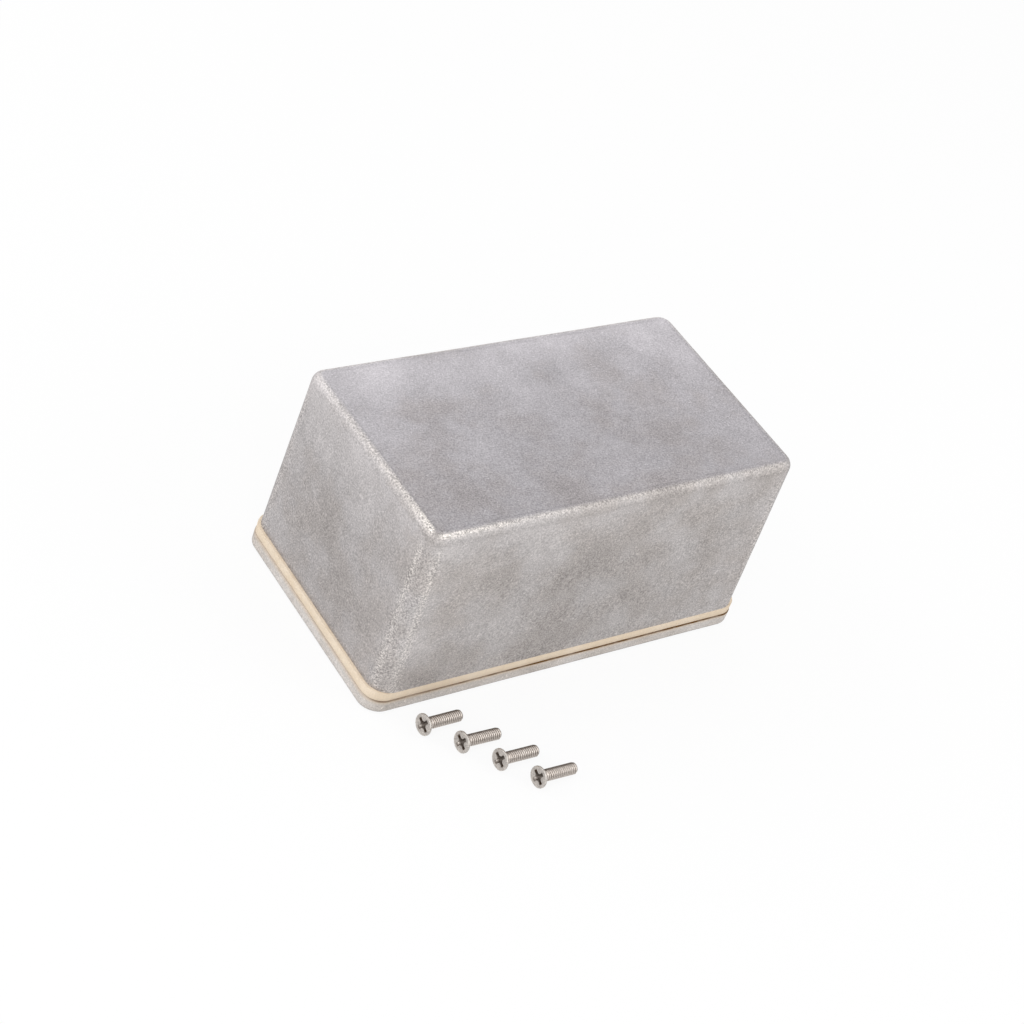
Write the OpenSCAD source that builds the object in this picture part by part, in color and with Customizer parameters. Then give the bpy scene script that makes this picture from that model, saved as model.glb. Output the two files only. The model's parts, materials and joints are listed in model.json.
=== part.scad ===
// Sealed die-cast enclosure, standing upside down on its lid, with its four lid screws laid out in front.
// The origin is the centre of the lid's outer face. X runs along the length, Y across the width, Z up.

/* [Lid] */
// Length of the lid
lid_length = 115; // [80:1:200]
// Width of the lid
lid_width = 64; // [50:1:150]
// Thickness of the lid's plate
lid_thickness = 3.8; // [2.6:0.1:6]
// Plan radius of the lid's corners
lid_corner_radius = 5.4; // [3:0.1:10]
// Rounding around the lid's outer face
lid_edge_radius = 0.7; // [0.3:0.1:1.5]
// Rounding of the lid's edge beside the gasket
lid_rim_radius = 0.5; // [0.2:0.1:1.2]

/* [Locating bars] */
// Thickness of the bars on the lid's inner face
bar_thickness = 1.8; // [1:0.1:3]
// How far the bars reach into the casing
bar_engagement = 1.8; // [0.8:0.1:5]
// Gap between the bars and the casing's sides and bosses
bar_clearance = 0.5; // [0.2:0.1:1.2]

/* [Gasket] */
// Thickness of the gasket before it is squeezed
gasket_thickness = 2.6; // [1:0.1:5]
// Distance from the lid's edge in to the gasket's edge
gasket_setback = 0.2; // [0:0.1:0.8]

/* [Casing] */
// Height of the casing from its rim to its closed top
casing_height = 49.6; // [25:0.2:100]
// Distance from the lid's ends in to the casing's rim
end_setback = 1; // [0.4:0.1:2]
// Distance from the lid's long sides in to the casing's rim
side_setback = 0.2; // [0:0.1:2]
// How far each side's draft leans it in between the rim and the top
draft_inset = 1.6; // [0.4:0.1:2.8]
// Thickness of the sides
side_thickness = 2.4; // [1.6:0.1:3.2]
// Thickness of the closed top
top_thickness = 2.6; // [1.6:0.1:5]
// Plan radius of the casing's corners at the rim
corner_radius = 5.6; // [4.4:0.1:9]
// Rounding of the edge around the closed top
top_edge_radius = 2.6; // [1:0.1:4]
// Rounding inside, where the sides meet the closed top
inner_edge_radius = 1; // [0.4:0.1:2]

/* [Screw bosses] */
// Distance from the lid's edges in to the screws' axes
screw_inset = 6; // [5:0.1:9]
// Radius of the bosses in the casing's corners
boss_radius = 4; // [3.6:0.1:6]
// Diameter of the tapped holes, at the thread's root
tap_diameter = 2.5; // [2:0.1:2.9]
// Length of tapped hole beyond the end of a driven screw
tap_runout = 3; // [1:0.5:10]
// Diameter of the clearance holes through the lid and the gasket
screw_hole_diameter = 3.4; // [3.1:0.1:4.5]

/* [Screw] */
// Length of a screw over its head
screw_length = 11.7; // [9:0.1:30]
// Outer diameter of the thread
thread_diameter = 3; // [2.6:0.1:3.3]
// Diameter of the countersunk head
head_diameter = 5.5; // [5:0.1:7]
// Height of the straight land around the head, above its 90 degree cone
head_land = 0.4; // [0.1:0.05:0.8]
// Chamfer at the end of the thread
tip_chamfer = 0.35; // [0.1:0.05:0.6]
// Span of the cross recess across the head
recess_span = 3.7; // [2.4:0.1:4]
// Depth of the cross recess
recess_depth = 1.5; // [0.8:0.1:2]
// Width of the recess's wings
recess_wing = 0.9; // [0.4:0.05:1]
// Diameter of the recess's round core at the head's face
recess_core = 1.9; // [1.2:0.1:2.4]
// Diameter of the recess's foot
recess_foot = 0.9; // [0.4:0.1:1.2]

/* [Screw row] */
// Distance from the lid's left end in to the first screw's head
row_setback = 10.4; // [0:0.1:40]
// Gap between the lid's front edge and the first screw's head
row_gap = 5.4; // [1:0.1:30]
// Gap between neighbouring heads, across the row
head_gap = 2.15; // [0.5:0.05:10]
// Step along the lid from one screw to the next
row_step = 6.35; // [0:0.05:20]
// Turn of each screw's axis away from the lid's length
screw_turns = [4.1, 2.6, 2.8, 2.3]; // [0:0.1:8]
// Turn of each screw's recess about the screw's own axis
recess_turns = [25, 25, 23, 25]; // [0:1:90]

/* [Hidden] */
$fn = 64;
// Overrun that lets a cutting shape pass clear through a face
cut = 1;

// Height of the lid's middle plane, and of each seat, above the lid's outer face
lid_middle = lid_thickness / 2;
gasket_seat = lid_thickness;
rim_seat = gasket_seat + gasket_thickness;

// Casing outline at the rim, and the cavity inside it
casing_length = lid_length - 2 * end_setback;
casing_width = lid_width - 2 * side_setback;
cavity_length = casing_length - 2 * side_thickness;
cavity_width = casing_width - 2 * side_thickness;
cavity_height = casing_height - top_thickness;
cavity_draft = draft_inset * cavity_height / casing_height;
cavity_corner_radius = max(corner_radius - side_thickness, cavity_draft + inner_edge_radius);

// Gasket outline, parallel to the lid's
gasket_length = lid_length - 2 * gasket_setback;
gasket_width = lid_width - 2 * gasket_setback;
gasket_corner_radius = lid_corner_radius - gasket_setback;

// Screw axes, and the seats that a screw takes in the lid and the casing
screw_x = lid_length / 2 - screw_inset;
screw_y = lid_width / 2 - screw_inset;
thread_radius = thread_diameter / 2;
head_radius = head_diameter / 2;
head_height = head_land + head_radius - thread_radius;
screw_hole_radius = screw_hole_diameter / 2;
sink_radius = head_radius + head_land;
tap_depth = screw_length - lid_thickness - gasket_thickness + tap_runout;

// A loose screw lies on the rim of its head and the end of its thread
land_to_tip = screw_length - tip_chamfer - head_land;
rest_tilt = atan((head_radius - thread_radius) / land_to_tip);
rest_height = head_land * sin(rest_tilt) + head_radius * cos(rest_tilt);
row_start = [row_setback - lid_length / 2, -lid_width / 2 - row_gap - head_radius];
row_pitch = [row_step, -head_diameter - head_gap];

// Section through the side of a block, with x = 0 on the axis of its corner.
// It reaches inward from there, and its outer side leans in to a rounded top edge.
module side_section(inward, radius, height, lean, edge) {
    lean_angle = atan(lean / height);
    edge_x = radius - (edge + (height - edge) * sin(lean_angle)) / cos(lean_angle);
    edge_centre = [edge_x, height - edge];
    top_corner = [radius - lean, height];
    side_tangent = edge_centre + edge * [cos(lean_angle), sin(lean_angle)];
    top_tangent = edge_centre + [0, edge];
    difference() {
        polygon([[-inward, 0], [radius, 0], top_corner, [-inward, height]]);
        if (edge > 0)
            difference() {
                polygon([edge_centre, side_tangent, top_corner, top_tangent]);
                translate(edge_centre) circle(edge);
            }
    }
}

// Block with rounded corners. Its corner axes stand upright, so a lean shrinks the corner radius with height.
module rounded_block(length, width, height, radius, lean = 0, edge = 0) {
    axis_x = length / 2 - radius;
    axis_y = width / 2 - radius;
    for (turn = [0, 180])
        rotate(turn) {
            translate([axis_x, axis_y, 0])
                rotate([90, 0, 0])
                    linear_extrude(2 * axis_y)
                        side_section(2 * axis_x, radius, height, lean, edge);
            translate([-axis_x, axis_y, 0])
                rotate([90, 0, 90])
                    linear_extrude(2 * axis_x)
                        side_section(2 * axis_y, radius, height, lean, edge);
            for (flip = [0, 1])
                mirror([flip, 0, 0])
                    translate([axis_x, axis_y, 0])
                        rotate_extrude(angle = 90)
                            side_section(0, radius, height, lean, edge);
        }
}

// Places its children on the four screw axes, with +X and +Y pointing out to the corner
module at_screws() {
    for (flip_x = [0, 1], flip_y = [0, 1])
        mirror([flip_x, 0, 0])
            mirror([0, flip_y, 0])
                translate([screw_x, screw_y, 0])
                    children();
}

// Round boss on a screw axis, filled out to the sides behind it
module boss(height) {
    cylinder(r = boss_radius, h = height);
    cube([screw_inset, screw_inset, height]);
}

// Hollow inside the casing, with the bosses left standing in its corners
module cavity() {
    difference() {
        rounded_block(cavity_length, cavity_width, cavity_height, cavity_corner_radius,
                      cavity_draft, inner_edge_radius);
        at_screws() translate([0, 0, -cut]) boss(cavity_height + 2 * cut);
    }
}

module casing() {
    color("silver")
        translate([0, 0, rim_seat])
            difference() {
                rounded_block(casing_length, casing_width, casing_height, corner_radius,
                              draft_inset, top_edge_radius);
                cavity();
                at_screws() translate([0, 0, -cut]) cylinder(d = tap_diameter, h = tap_depth + cut);
            }
}

module gasket() {
    color("wheat")
        translate([0, 0, gasket_seat])
            difference() {
                rounded_block(gasket_length, gasket_width, gasket_thickness, gasket_corner_radius);
                translate([0, 0, -cut])
                    difference() {
                        rounded_block(cavity_length, cavity_width, gasket_thickness + 2 * cut,
                                      cavity_corner_radius);
                        at_screws() boss(gasket_thickness + 2 * cut);
                    }
                at_screws()
                    translate([0, 0, -cut])
                        cylinder(r = screw_hole_radius, h = gasket_thickness + 2 * cut);
            }
}

// Bars that stand inside the casing's rim and keep the lid in place, rooted in the lid's plate
module locating_bars() {
    height = rim_seat + bar_engagement - lid_middle;
    end_gap = boss_radius + bar_clearance;
    bar_x = cavity_length / 2 - bar_clearance - bar_thickness / 2;
    bar_y = cavity_width / 2 - bar_clearance - bar_thickness / 2;
    translate([0, 0, lid_middle + height / 2])
        for (side = [-1, 1]) {
            translate([0, side * bar_y, 0])
                cube([2 * (screw_x - end_gap), bar_thickness, height], center = true);
            translate([side * bar_x, 0, 0])
                cube([bar_thickness, 2 * (screw_y - end_gap), height], center = true);
        }
}

// Clearance hole that takes a screw's head flush with the lid's outer face
module countersunk_hole() {
    rotate_extrude()
        polygon([
            [0, -cut],
            [sink_radius + cut, -cut],
            [screw_hole_radius, sink_radius - screw_hole_radius],
            [screw_hole_radius, lid_thickness + cut],
            [0, lid_thickness + cut]
        ]);
}

module lid() {
    color("darkgray")
        difference() {
            union() {
                translate([0, 0, lid_middle])
                    rounded_block(lid_length, lid_width, lid_middle, lid_corner_radius,
                                  edge = lid_rim_radius);
                translate([0, 0, lid_middle])
                    mirror([0, 0, 1])
                        rounded_block(lid_length, lid_width, lid_middle, lid_corner_radius,
                                      edge = lid_edge_radius);
                locating_bars();
            }
            at_screws() countersunk_hole();
        }
}

// Cross recess that opens at z = 0 and narrows as it goes down along +Z
module cross_recess() {
    for (turn = [0, 90])
        rotate([90, 0, turn])
            linear_extrude(recess_wing, center = true)
                polygon([
                    [-recess_span / 2, -cut],
                    [recess_span / 2, -cut],
                    [recess_span / 2, 0],
                    [recess_foot / 2, recess_depth],
                    [-recess_foot / 2, recess_depth],
                    [-recess_span / 2, 0]
                ]);
    cylinder(d1 = recess_core, d2 = recess_foot, h = recess_depth);
}

// One screw along +Z, with the face of its head at z = 0
module screw(recess_turn) {
    difference() {
        rotate_extrude()
            polygon([
                [0, 0],
                [head_radius, 0],
                [head_radius, head_land],
                [thread_radius, head_height],
                [thread_radius, screw_length - tip_chamfer],
                [thread_radius - tip_chamfer, screw_length],
                [0, screw_length]
            ]);
        rotate([0, 0, recess_turn]) cross_recess();
    }
}

module lid_screws() {
    color("lightgray")
        for (i = [0 : len(screw_turns) - 1])
            translate(concat(row_start + i * row_pitch, [rest_height]))
                rotate([0, 90 + rest_tilt, screw_turns[i]])
                    screw(recess_turns[i]);
}

casing();
gasket();
lid();
lid_screws();
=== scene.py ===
import json
import math

import bmesh
import bpy
import numpy as np
from mathutils import Matrix, Quaternion, Vector, noise
from mathutils.geometry import tessellate_polygon

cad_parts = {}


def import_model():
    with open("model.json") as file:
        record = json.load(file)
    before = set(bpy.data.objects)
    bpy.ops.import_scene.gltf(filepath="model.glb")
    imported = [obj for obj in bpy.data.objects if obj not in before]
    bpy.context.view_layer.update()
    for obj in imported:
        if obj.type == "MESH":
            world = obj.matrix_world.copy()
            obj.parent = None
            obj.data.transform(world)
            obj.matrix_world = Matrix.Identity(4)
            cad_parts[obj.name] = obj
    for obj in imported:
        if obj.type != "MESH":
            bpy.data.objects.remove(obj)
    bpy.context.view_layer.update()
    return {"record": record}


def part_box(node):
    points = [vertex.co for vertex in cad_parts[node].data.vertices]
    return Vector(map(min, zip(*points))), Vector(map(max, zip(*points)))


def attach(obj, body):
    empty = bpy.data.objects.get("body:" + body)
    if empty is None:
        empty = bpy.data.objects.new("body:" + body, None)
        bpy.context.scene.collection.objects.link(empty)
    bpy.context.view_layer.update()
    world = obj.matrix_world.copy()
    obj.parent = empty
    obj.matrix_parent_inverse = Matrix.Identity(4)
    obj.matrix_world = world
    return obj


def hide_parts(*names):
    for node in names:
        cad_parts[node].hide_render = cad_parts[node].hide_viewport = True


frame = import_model()

# Looks of a sealed die-cast enclosure, upside down on its lid, with its screws laid out in front.
# Sizes are in millimetres, as in the part's source, and become metres when a mesh is made.
MM = 0.001
MERGE_DISTANCE = 1e-4


def node_box(node):
    """Lowest and highest corner of a node, in millimetres."""
    low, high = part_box(node)
    return low / MM, high / MM


# Sizes that the frame gives
LID_LOW, LID_HIGH = node_box("lid")
GASKET_LOW, GASKET_HIGH = node_box("gasket")
CASING_LOW, CASING_HIGH = node_box("casing")
MOUNTS = {mount["name"]: mount["dims"] for mount in frame["record"]["mounts"]}
SCREW_X = MOUNTS["lid_holes"]["spacing_x_mm"] / 2
SCREW_Y = MOUNTS["lid_holes"]["spacing_y_mm"] / 2
LID_HOLE_RADIUS = MOUNTS["lid_holes"]["hole_r_mm"]
TAP_RADIUS = MOUNTS["boss_holes"]["hole_r_mm"]
GASKET_SEAT = GASKET_LOW.z
RIM_SEAT = CASING_LOW.z
CASING_HEIGHT = CASING_HIGH.z - CASING_LOW.z

# Sizes that repeat the part's source
CASING_CORNER_RADIUS = 5.6
TOP_EDGE_RADIUS = 2.6
DRAFT_INSET = 1.6
SIDE_THICKNESS = 2.4
TOP_THICKNESS = 2.6
INNER_EDGE_RADIUS = 1.0
BOSS_RADIUS = 4.0
TAP_RUNOUT = 3.0
LID_CORNER_RADIUS = 5.4
LID_EDGE_RADIUS = 0.7
LID_RIM_RADIUS = 0.5
BAR_THICKNESS = 1.8
BAR_CLEARANCE = 0.5
GASKET_CORNER_RADIUS = 5.2
SCREW_LENGTH = 11.7
HEAD_RADIUS = 2.75
HEAD_LAND = 0.4
THREAD_RADIUS = 1.5
TIP_CHAMFER = 0.35
RECESS_SPAN = 3.7
RECESS_DEPTH = 1.5
RECESS_WING = 0.9
RECESS_CORE = 1.9
RECESS_FOOT = 0.9
ROW_SETBACK = 10.4
ROW_GAP = 5.4
HEAD_GAP = 2.15
ROW_STEP = 6.35
SCREW_TURNS = (4.1, 2.6, 2.8, 2.3)
RECESS_TURNS = (25, 25, 23, 25)

# Derived sizes
CAVITY_HEIGHT = CASING_HEIGHT - TOP_THICKNESS
CAVITY_DRAFT = DRAFT_INSET * CAVITY_HEIGHT / CASING_HEIGHT
CAVITY_HALF_X = CASING_HIGH.x - SIDE_THICKNESS
CAVITY_HALF_Y = CASING_HIGH.y - SIDE_THICKNESS
TOP_HALF_X = CASING_HIGH.x - DRAFT_INSET
TOP_HALF_Y = CASING_HIGH.y - DRAFT_INSET
SINK_RADIUS = HEAD_RADIUS + HEAD_LAND
HEAD_HEIGHT = HEAD_LAND + HEAD_RADIUS - THREAD_RADIUS
TAP_DEPTH = SCREW_LENGTH - RIM_SEAT + TAP_RUNOUT


class Shell:
    """A piece's points and faces, in millimetres, with named marks on its points."""

    def __init__(self):
        self.points = []
        self.faces = []
        self.marks = {}

    def add(self, points, **marks):
        """Adds points and returns their numbers. A mark is one value for all of them, or one for each."""
        numbers = np.arange(len(points)) + len(self.points)
        self.points.extend(tuple(point) for point in points)
        for name, values in marks.items():
            self.marks.setdefault(name, []).append((numbers, values))
        return numbers

    def face(self, *numbers):
        """One face, without the points that it would hold twice."""
        corners = list(dict.fromkeys(int(number) for number in numbers))
        if len(corners) > 2:
            self.faces.append(corners)

    def bridge(self, ring, next_ring):
        """Faces between two closed rings with the same count of points."""
        for a, b, c, d in zip(ring, np.roll(ring, -1), np.roll(next_ring, -1), next_ring):
            self.face(a, b, c, d)

    def stack(self, rings):
        """Faces between each ring and the next one."""
        for ring, next_ring in zip(rings, rings[1:]):
            self.bridge(ring, next_ring)

    def fill(self, *loops):
        """Triangles inside the first loop and outside the others."""
        numbers = np.concatenate(loops)
        corners = [[Vector(self.points[number]) for number in loop] for loop in loops]
        for triangle in tessellate_polygon(corners):
            self.face(*numbers[list(triangle)])

    def build(self, name, material, sharp_angle=38):
        """A smooth-shaded object of this shell, creased where faces meet at more than the sharp angle."""
        mesh = bpy.data.meshes.new(name)
        mesh.from_pydata(np.array(self.points) * MM, [], self.faces)
        for mark, parts in self.marks.items():
            values = np.zeros(len(self.points), np.float32)
            for numbers, part in parts:
                values[numbers] = part
            mesh.attributes.new(mark, "FLOAT", "POINT").data.foreach_set("value", values)
        cleaned = bmesh.new()
        cleaned.from_mesh(mesh)
        bmesh.ops.remove_doubles(cleaned, verts=cleaned.verts, dist=MERGE_DISTANCE * MM)
        bmesh.ops.recalc_face_normals(cleaned, faces=cleaned.faces)
        cleaned.to_mesh(mesh)
        cleaned.free()
        mesh.shade_smooth()
        mesh.set_sharp_from_angle(angle=math.radians(sharp_angle))
        mesh.materials.append(material)
        piece = bpy.data.objects.new(name, mesh)
        bpy.context.scene.collection.objects.link(piece)
        return piece


class Outline:
    """Stations around a rounded rectangle: a foot on the rectangle of corner axes, and the way out from it.

    past_corner counts degrees from the middle of the nearest corner, and goes on so along the sides."""

    def __init__(self, high, radius, cell, corner_steps):
        half_x = high.x - radius
        half_y = high.y - radius
        self.columns = round(2 * half_x / cell)
        self.lines = round(2 * half_y / cell)
        xs = np.linspace(-half_x, half_x, self.columns + 1)
        ys = np.linspace(-half_y, half_y, self.lines + 1)
        self.grid = np.array([(x, y) for y in ys for x in xs])
        right = [(self.columns, line) for line in range(self.lines + 1)]
        back = [(column, self.lines) for column in range(self.columns, -1, -1)]
        left = [(0, line) for line in range(self.lines, -1, -1)]
        front = [(column, 0) for column in range(self.columns + 1)]
        feet, angles, past_corner = [], [], []
        for quarter, side in enumerate((right, back, left, front)):
            places = np.linspace(-1, 1, len(side)) * (half_y if quarter % 2 == 0 else half_x)
            to_corner = np.abs(places).max() - np.abs(places)
            feet += side
            angles += [90 * quarter] * len(side)
            past_corner += list(np.where(places < 0, 1, -1) * (45 + np.degrees(to_corner / radius)))
            turns = np.linspace(0, 90, corner_steps + 1)[1:-1]
            feet += [side[-1]] * len(turns)
            angles += list(90 * quarter + turns)
            past_corner += list(turns - 45)
        self.feet = np.array([line * (self.columns + 1) + column for column, line in feet])
        self.out = np.array([(math.cos(a), math.sin(a)) for a in np.radians(angles)])
        self.past_corner = np.array(past_corner)

    def ring(self, reach, height):
        """Points at one reach out from the corner axes and one height."""
        flat = self.grid[self.feet] + reach * self.out
        return np.column_stack([flat, np.full(len(flat), height)])


def section(radius, height, lean, edge, side_steps, edge_steps):
    """Rows up the side of a block, as in the part's source.

    Each row has its reach from the corner axis, its height, and the angle of its normal above the level."""
    angle = math.atan(lean / height)
    centre = radius - (edge + (height - edge) * math.sin(angle)) / math.cos(angle)
    turns = np.linspace(angle, math.pi / 2, edge_steps + 1)
    around = [(centre + edge * math.cos(a), height - edge + edge * math.sin(a), a) for a in turns]
    reach, rise, _ = around[0]
    shares = np.linspace(0, 1, side_steps + 1)[:-1]
    return [(radius + (reach - radius) * s, rise * s, angle) for s in shares] + around


def ripple(points, size, shift=0.0):
    """Smooth noise from -1 to 1 at each point, with bumps about size millimetres across."""
    offset = Vector((shift, shift, shift))
    return np.array([noise.noise(Vector(point) / size + offset) for point in points])


def bell(value, centre, width):
    """1 at the centre, fading to 0 over about two widths on each side."""
    return np.exp(-((value - centre) / width) ** 2)


def ramp(value, low, high):
    """0 below low, 1 above high, and smooth between them."""
    share = np.clip((value - low) / (high - low), 0, 1)
    return share * share * (3 - 2 * share)


def fade(distance, reach):
    """1 at an edge, falling away over about that reach."""
    return np.exp(-np.maximum(distance, 0) / reach)


def quarter_turn(steps):
    """Angles of a quarter turn, in equal steps."""
    return np.linspace(0, math.pi / 2, steps + 1)


def circle(x, y, radius, height, steps=40):
    """Points of a level circle."""
    return [(x + radius * math.cos(a), y + radius * math.sin(a), height)
            for a in np.linspace(0, 2 * math.pi, steps, endpoint=False)]


def screw_axes():
    """Places of the four screw axes."""
    return [(x, y) for x in (-SCREW_X, SCREW_X) for y in (-SCREW_Y, SCREW_Y)]


def cavity_outline(inset, height, boss_steps=24):
    """Points around the casing's inside at one height, round the bosses that stand in its corners."""
    wall_x = CAVITY_HALF_X - inset
    wall_y = CAVITY_HALF_Y - inset
    start = -math.acos((wall_x - SCREW_X) / BOSS_RADIUS)
    end = math.pi - math.asin((wall_y - SCREW_Y) / BOSS_RADIUS) - 2 * math.pi
    turns = np.linspace(start, end, boss_steps)
    corner = [(SCREW_X + BOSS_RADIUS * math.cos(a), SCREW_Y + BOSS_RADIUS * math.sin(a)) for a in turns]
    mirrored = [(-x, y) for x, y in reversed(corner)]
    opposite = [(-x, -y) for x, y in corner]
    last = [(x, -y) for x, y in reversed(corner)]
    return [(x, y, height) for x, y in corner + mirrored + opposite + last]


# Casing
CASING_CELL = 0.8
CORNER_STEPS = 16
EDGE_STEPS = 12
TOP_ROW_STEP = 0.25
TOP_ROW_COUNT = 6
FOOT_RADIUS = 0.12
FOOT_STEPS = 3

# Relief of the cast surface, and the height above the foot where it is whole
WAVE_DEPTH = 0.05
WAVE_SIZE = 21
DIMPLE_DEPTH = 0.02
DIMPLE_SIZE = 3.2
NICK_DEPTH = 0.05
NICK_SIZE = 1.6
DARK_LINE_DEPTH = 0.2
RELIEF_RISE = 2

# Wear and painted light: the band of wear with a painted highlight on the top's edge, strongest by the near
# corner, painted highlight stripes beside the corners, a painted dark line along the top's edge, painted
# shade at the foot, and the top's painted shade tone
EDGE_LENGTH = 4.0
EDGE_BAND = 0.16
EDGE_BAND_AT_ENDS = 0.06
EDGE_BAND_OFF_CORNER = (4, 36)
BAND_PATCHES = 0.5
BAND_PATCH_SIZE = 16
BAND_PLACE = 1.4
BAND_SHIFT_AT_ENDS = 0.48
BAND_WIDTH = 0.62
BAND_SPREAD_AT_ENDS = 0.8
NEAR_CORNER_BAND = 1.9
NEAR_CORNER_LOSS_AT_ENDS = 0.3
NEAR_CORNER_REACH = 14
CORNER_STRIPE = 0.55
CORNER_STRIPE_RISE = 0.4
CORNER_BAND = 26
CORNER_BAND_SPREAD = 9
CORNER_BAND_WIDTH = 12
CORNER_BAND_SLANT = 15
CORNER_BAND_LEVEL = 0.45
CORNER_MIDDLE = 0.06
COARSE_OFF_CORNER = (38, 60)
DARK_LINE_STRENGTH = 0.28
DARK_LINE_PLACE = -0.1
DARK_LINE_WIDTH = 0.3
DARK_LINE_LOSS = 0.15
FOOT_SHADE = 0.04
FOOT_SHADE_AT_ENDS = 0.12
FOOT_SHADE_RISE = (0.1, 1.6)
TOP_FACING = (0.75, 1)
TOP_SHADE_AT_ENDS = 0.25

# Painted light and shade near the edges of the faces: strengths, reaches from the edges, and spans over
# which something grows
BACK_LIGHT = 1.3
BACK_REACH = 17
END_LIGHT = 0.8
END_REACH = 30
LEFT_AT_FRONT = 0.1
LEFT_SPAN = (-35, 25)
RIGHT_AT_FRONT = 0.4
RIGHT_SPAN = (-30, 10)
FRONT_LIGHT = 0.35
FRONT_REACH = 12
FRONT_SPAN = (-40, 10)
CORNER_LIGHT = 0.6
CORNER_REACH = 14
CORNER_LOSS = 0.25
CORNER_LOSS_SPAN = (0, 28)
CORNER_MIDDLE_LOSS = 0.4
CORNER_MIDDLE_WIDTH = 20
SIDE_LIGHT = 0.65
SIDE_REACH = 13
END_SIDE_LIGHT = 0.45
END_SIDE_REACH = 12
LONG_SIDE_ENDS = 0.12
LONG_SIDE_LEAN = 0.23
LONG_SIDE_DIM = 0.22
LONG_SIDE_DIM_PLACE = -8
LONG_SIDE_DIM_WIDTH = 22
LONG_SIDE_DIM_SPAN = (8, 25)
BORDER_LEVEL = 0.9
BORDER_PATCHES = 0.5
BORDER_PATCH_SIZE = 11

# The top's rounded edge, where the painted light is weaker and painted shade darkens it: how far down it
# goes, and how it ends
ROUND_EDGE_LOSS = 0.5
ROUND_EDGE_DIM = 0.15
ROUND_EDGE_START = (-0.2, 0.9)
ROUND_EDGE_END = 5.2
ROUND_EDGE_LESS_AT_ENDS = 0.8
ROUND_EDGE_FALL = 2
ROUND_EDGE_LESS_FALL_AT_ENDS = 0.4
ROUND_EDGE_BACK_LOSS = 0.8
ROUND_EDGE_BACK_SPAN = (10, 28)


def casing_rows():
    """Rows down the casing's outside to the rim, and how far below the top's edge each lies."""
    rows = section(CASING_CORNER_RADIUS, CASING_HEIGHT, DRAFT_INSET, TOP_EDGE_RADIUS,
                   round(CASING_HEIGHT / CASING_CELL), EDGE_STEPS)
    top_reach = rows[-1][0]
    insets = TOP_ROW_STEP * np.arange(1, TOP_ROW_COUNT + 1)
    on_top = [(reach, CASING_HEIGHT, math.pi / 2) for reach in top_reach - insets]
    foot = [(CASING_CORNER_RADIUS - FOOT_RADIUS * (1 - math.cos(a)), FOOT_RADIUS * (1 - math.sin(a)), 0)
            for a in quarter_turn(FOOT_STEPS)[1:]]
    side = [row for row in rows if row[1] > FOOT_RADIUS]
    rows = on_top[::-1] + side[::-1] + foot
    reaches = np.array([row[:2] for row in rows])
    down = np.concatenate([[0], np.cumsum(np.linalg.norm(np.diff(reaches, axis=0), axis=1))])
    return rows, down - down[len(on_top)]


def painted_top_light(x, y):
    """Painted light on the casing's top near its edges: most at the back, some at both ends and right of
    the front.
    """
    to_back = fade(TOP_HALF_Y - y, BACK_REACH)
    on_left = LEFT_AT_FRONT + (1 - LEFT_AT_FRONT) * ramp(y, *LEFT_SPAN)
    on_right = RIGHT_AT_FRONT + (1 - RIGHT_AT_FRONT) * ramp(y, *RIGHT_SPAN)
    to_ends = fade(x + TOP_HALF_X, END_REACH) * on_left + fade(TOP_HALF_X - x, END_REACH) * on_right
    to_front = fade(y + TOP_HALF_Y, FRONT_REACH) * ramp(x, *FRONT_SPAN)
    return BACK_LIGHT * to_back + END_LIGHT * to_ends + FRONT_LIGHT * to_front


def painted_side_light(x, y, low, end_share, down, off_corner):
    """Painted light on the casing's sides: below the top's edge and beside the corners, less low down.

    A corner's own middle gets less. The long sides get more painted light to the left and painted shade in
    their low middle."""
    by_corner = fade(CASING_CORNER_RADIUS * np.radians(off_corner - 45), CORNER_REACH)
    lost = low * (1 - end_share + end_share * ramp(y, *CORNER_LOSS_SPAN))
    by_corner *= CORNER_LIGHT - CORNER_LOSS * lost
    from_top = SIDE_LIGHT * fade(down - EDGE_LENGTH, SIDE_REACH)
    from_top += END_SIDE_LIGHT * end_share * fade(down - EDGE_LENGTH, END_SIDE_REACH)
    beside = np.maximum(from_top, by_corner)
    beside *= 1 - CORNER_MIDDLE_LOSS * bell(off_corner, 0, CORNER_MIDDLE_WIDTH)
    along = (LONG_SIDE_ENDS * np.abs(x) - LONG_SIDE_LEAN * x) / TOP_HALF_X
    dimmed = bell(x, LONG_SIDE_DIM_PLACE, LONG_SIDE_DIM_WIDTH) * ramp(down, *LONG_SIDE_DIM_SPAN)
    return beside + (1 - end_share) * (along - LONG_SIDE_DIM * dimmed)


def painted_face_light(points, top_share, end_share, down, off_corner):
    """Share of painted light near the edges of each face, less on the top's rounded edge, which also gets
    painted shade.
    """
    x, y, z = points.T
    low = (CASING_HIGH.z - z) / CASING_HEIGHT
    on_side = painted_side_light(x, y, low, end_share, down, off_corner)
    painted_light_and_shade = top_share * painted_top_light(x, y) + (1 - top_share) * on_side
    painted_light_and_shade *= BORDER_LEVEL + BORDER_PATCHES * ripple(points, BORDER_PATCH_SIZE, shift=6.1)
    end = ROUND_EDGE_END - ROUND_EDGE_LESS_AT_ENDS * end_share
    fall = ROUND_EDGE_FALL - ROUND_EDGE_LESS_FALL_AT_ENDS * end_share
    on_edge = ramp(down, *ROUND_EDGE_START) * (1 - ramp(down, end - fall, end))
    on_edge *= 1 - ROUND_EDGE_BACK_LOSS * ramp(y, *ROUND_EDGE_BACK_SPAN)
    return painted_light_and_shade * (1 - ROUND_EDGE_LOSS * on_edge) - ROUND_EDGE_DIM * on_edge


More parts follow.
